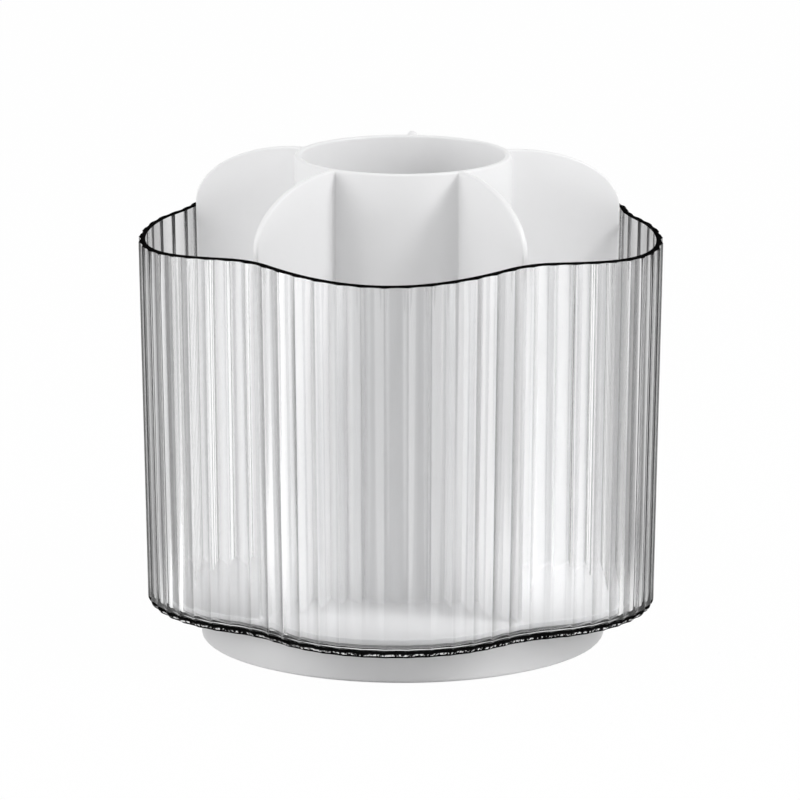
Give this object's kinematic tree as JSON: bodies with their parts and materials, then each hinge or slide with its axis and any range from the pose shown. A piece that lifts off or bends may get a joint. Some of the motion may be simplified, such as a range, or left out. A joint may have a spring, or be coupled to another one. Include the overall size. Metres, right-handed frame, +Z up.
{
  "type": "rotating makeup organizer",
  "caption": "Clear fluted petal-plan cup with a white divider and central tube, turning on a low round base.",
  "frame": {"origin": "centre of the underside, on the turning axis, in the plane of the table", "axes": "+Z up along the turning axis, and one petal of the cup points along -Y, towards the front"},
  "size_m": [0.155, 0.1521, 0.1461],
  "materials": {
    "clear_plastic": "clear, polished",
    "divider_plastic": "satin white",
    "base_plastic": "satin white",
    "turntable_plastic": "moulded white",
    "foot_rubber": "matte",
    "pad_foam": "soft matte",
    "foam": "closed-cell foam, matte",
    "race_steel": "turned",
    "pin_steel": "turned",
    "screw_steel": "zinc plated",
    "clip_steel": "spring temper",
    "ball_steel": "polished",
    "cage_nylon": "natural nylon",
    "bush_acetal": "black acetal",
    "washer_nylon": "natural nylon"
  },
  "bodies": {
    "base": {"base_dish": "base_plastic", "foot_centre": "foot_rubber", "foot_1": "foot_rubber", "foot_2": "foot_rubber", "foot_3": "foot_rubber", "foot_4": "foot_rubber", "foot_5": "foot_rubber", "lower_race": "race_steel", "pivot_pin": "pin_steel", "thrust_washer": "washer_nylon", "retaining_clip": "clip_steel"},
    "cage": {"ball_cage": "cage_nylon", "bearing_ball_01": "ball_steel", "bearing_ball_02": "ball_steel", "bearing_ball_03": "ball_steel", "bearing_ball_04": "ball_steel", "bearing_ball_05": "ball_steel", "bearing_ball_06": "ball_steel", "bearing_ball_07": "ball_steel", "bearing_ball_08": "ball_steel", "bearing_ball_09": "ball_steel", "bearing_ball_10": "ball_steel", "bearing_ball_11": "ball_steel", "bearing_ball_12": "ball_steel"},
    "turntable": {"turntable": "turntable_plastic", "hub_bush": "bush_acetal", "upper_race": "race_steel", "gasket_ring": "foam", "cup": "clear_plastic", "cup_screws": "screw_steel"},
    "divider": {"divider": "divider_plastic", "divider_pad_1": "pad_foam", "divider_pad_2": "pad_foam", "divider_pad_3": "pad_foam", "divider_pad_4": "pad_foam", "divider_pad_5": "pad_foam"}
  },
  "joints": [
    {"name": "turntable_spin", "type": "hinge", "parent": "base", "child": "turntable", "pos_m": [0, 0, 0.0056], "axis": [0, 0, 1], "continuous": true},
    {"name": "cage_spin", "type": "hinge", "parent": "base", "child": "cage", "pos_m": [0, 0, 0.0056], "axis": [0, 0, 1], "continuous": true},
    {"name": "divider_lift", "type": "slide", "parent": "turntable", "child": "divider", "axis": [0, 0, 1], "range_m": [0, 0.12]}
  ],
  "couplings": [
    {"joint": "cage_spin", "follows": "turntable_spin", "ratio": 0.5}
  ]
}
